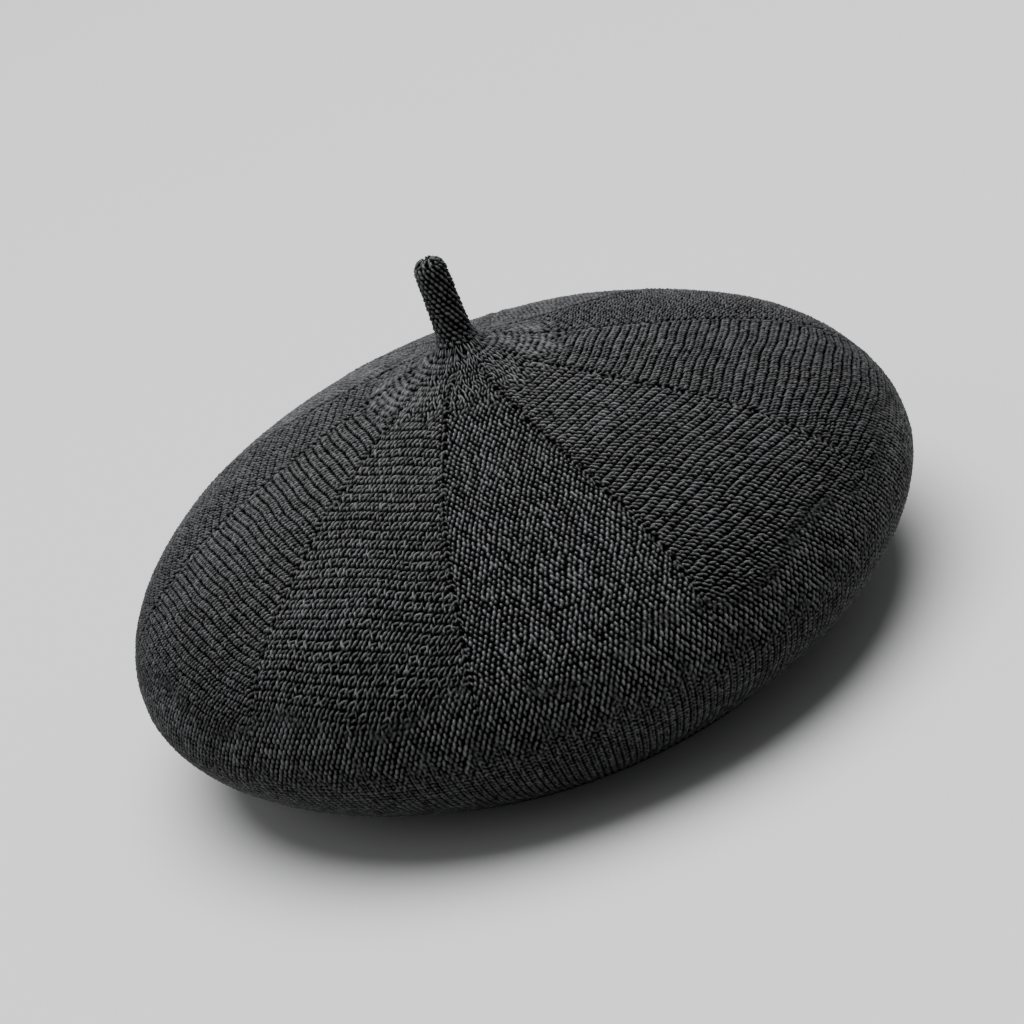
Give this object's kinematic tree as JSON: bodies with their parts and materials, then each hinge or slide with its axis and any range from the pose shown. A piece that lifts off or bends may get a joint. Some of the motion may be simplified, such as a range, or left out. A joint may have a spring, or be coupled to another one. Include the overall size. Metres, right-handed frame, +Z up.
{
  "type": "knitted beret",
  "caption": "Round flat knitted cap with a domed crown of joined wedges, a short knitted stalk on top, a turned hem and a ribbon sweatband round the head opening.",
  "frame": {"origin": "on the surface the beret rests on, on the crown's axis", "axes": "+Z up along the crown's axis, +Y towards the back of the head, where the label is"},
  "size_m": [0.275, 0.275, 0.1512],
  "materials": {
    "crown_knit": "matte charcoal machine knit",
    "stalk_knit": "matte charcoal fine tubular knit",
    "hem_knit": "matte charcoal rib knit",
    "yarn": "twisted sewing yarn",
    "elastic": "covered elastic tape",
    "ribbon": "corded grosgrain with a low sheen",
    "label_cloth": "fine woven satin, blank"
  },
  "bodies": {
    "crown": {"gore_01": "crown_knit", "gore_02": "crown_knit", "gore_03": "crown_knit", "gore_04": "crown_knit", "gore_05": "crown_knit", "gore_06": "crown_knit", "gore_07": "crown_knit", "gore_08": "crown_knit", "gore_09": "crown_knit", "gore_10": "crown_knit", "stalk_foot": "crown_knit", "gather_ring": "yarn", "tail_knot": "yarn", "linking_yarn": "yarn", "hem": "hem_knit", "hem_elastic": "elastic", "hem_stitches": "yarn", "sweatband": "ribbon", "sweatband_join_tape": "ribbon", "label": "label_cloth", "label_stitches": "yarn"},
    "stalk": {"stalk": "stalk_knit", "stalk_core": "yarn"}
  },
  "joints": [
    {"name": "stalk_bend", "type": "hinge", "parent": "crown", "child": "stalk", "pos_m": [0.005, -0.003, 0.1245], "axis": [0, 1, 0], "range_deg": [-30, 30], "stiffness_Nm_per_rad": 0.003}
  ]
}
